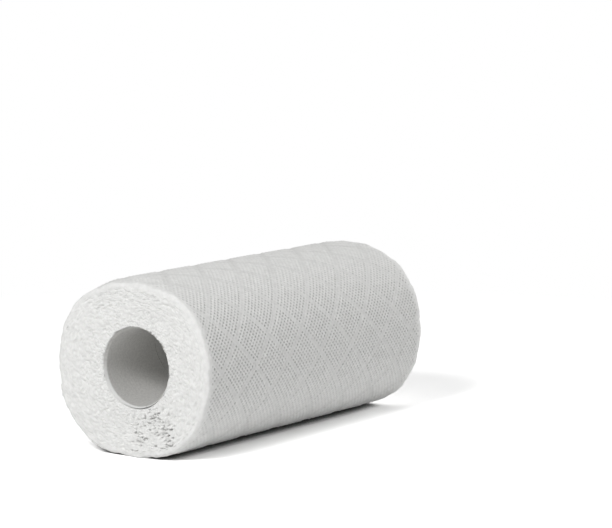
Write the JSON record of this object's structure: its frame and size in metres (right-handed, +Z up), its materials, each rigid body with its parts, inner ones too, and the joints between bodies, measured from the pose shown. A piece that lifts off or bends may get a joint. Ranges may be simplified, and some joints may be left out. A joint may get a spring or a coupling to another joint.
{
  "type": "paper towel roll",
  "caption": "Roll of embossed kitchen paper wound on a grey cardboard core, lying on its side, from which sheets are pulled and torn off.",
  "frame": {"origin": "middle of the flat spot underneath, at the bottom centre of the roll's box", "axes": "+X along the core, +Z up, and -Y towards the side that the picture shows; the end in view is at -X"},
  "size_m": [0.22, 0.103, 0.1018],
  "materials": {
    "core_board": "matt",
    "towel_paper": "matt"
  },
  "bodies": {
    "root": {"core_tube": "core_board", "paper_roll": "towel_paper"}
  },
  "joints": []
}
